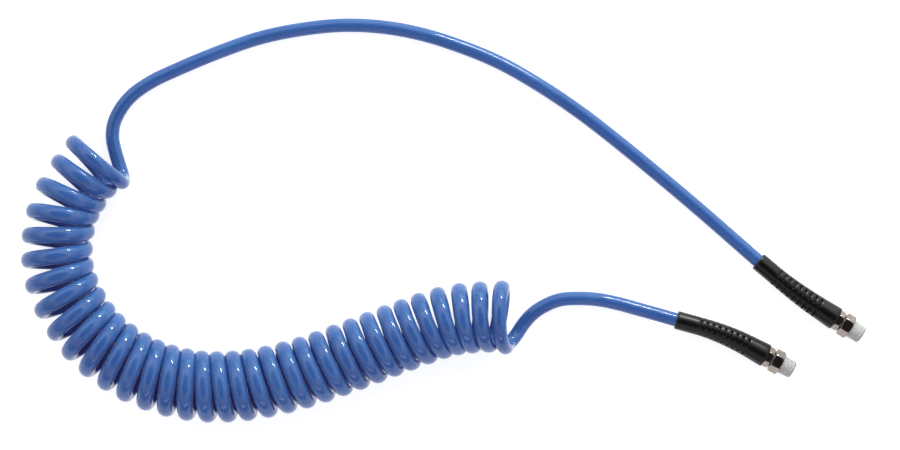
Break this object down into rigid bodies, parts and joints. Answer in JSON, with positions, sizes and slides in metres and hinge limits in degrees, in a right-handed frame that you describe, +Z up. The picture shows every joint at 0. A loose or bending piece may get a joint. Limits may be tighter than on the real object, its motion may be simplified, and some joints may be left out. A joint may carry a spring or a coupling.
{
  "type": "coiled air hose",
  "caption": "Coiled polyurethane air hose with a long and a short straight tail, each ending in an anti-kink sleeve and a swivelling male threaded fitting.",
  "frame": {"origin": "centre of the bounding box in X and Y, at the floor the hose lies on", "axes": "+Z up; +X along the longest side of the lying hose, towards its two threaded ends; +Y towards the bow of the long tail"},
  "size_m": [0.6062, 0.2904, 0.0517],
  "materials": {
    "hose": "translucent blue polyurethane, semi-gloss",
    "sleeve": "moulded black rubber, semi-gloss",
    "ferrule": "plain, crimped",
    "plated": "nickel plated, bright",
    "washer": "moulded acetal, dark grey",
    "seal": "nitrile rubber, black",
    "spring_steel": "spring steel, oiled",
    "sealant": "dry thread sealing compound, white, matte"
  },
  "bodies": {
    "hose": {"hose_coil": "hose", "supply_hose": "hose", "tool_hose": "hose", "supply_hose_end": "hose", "supply_sleeve": "sleeve", "supply_ferrule": "ferrule", "supply_stem": "plated", "supply_washer": "washer", "supply_o_ring": "seal", "supply_snap_ring": "spring_steel", "tool_hose_end": "hose", "tool_sleeve": "sleeve", "tool_ferrule": "ferrule", "tool_stem": "plated", "tool_washer": "washer", "tool_o_ring": "seal", "tool_snap_ring": "spring_steel"},
    "supply_fitting": {"supply_adaptor": "plated", "supply_sealant": "sealant"},
    "tool_fitting": {"tool_adaptor": "plated", "tool_sealant": "sealant"}
  },
  "joints": [
    {"name": "supply_swivel", "type": "hinge", "parent": "hose", "child": "supply_fitting", "pos_m": [0.28884, -0.07505, 0.0088], "axis": [0.8387, -0.5446, 0], "continuous": true},
    {"name": "tool_swivel", "type": "hinge", "parent": "hose", "child": "tool_fitting", "pos_m": [0.23876, -0.10103, 0.0088], "axis": [0.8788, -0.4772, 0], "continuous": true}
  ]
}
